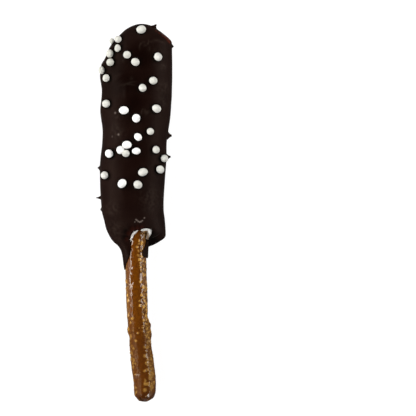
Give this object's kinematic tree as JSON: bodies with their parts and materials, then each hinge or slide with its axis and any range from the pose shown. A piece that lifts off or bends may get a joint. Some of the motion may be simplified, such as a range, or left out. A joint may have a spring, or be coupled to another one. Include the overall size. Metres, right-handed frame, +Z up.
{
  "type": "chocolate covered pretzel rod",
  "caption": "Long baked pretzel rod wrapped in white cream and dipped in dark chocolate, scattered with white sugar pearls.",
  "frame": {"origin": "on the resting surface, under the middle of the outline", "axes": "+Y along the rod towards its covered tip, +Z up out of the side with the pearls"},
  "size_m": [0.0431, 0.2101, 0.0312],
  "materials": {
    "dark_chocolate": "satin",
    "sugar_pearl": "matte",
    "white_cream": "matte",
    "pretzel_crust": "glossy"
  },
  "bodies": {
    "root": {"chocolate_coating": "dark_chocolate", "white_cream": "white_cream", "pretzel_rod": "pretzel_crust"}
  },
  "joints": []
}
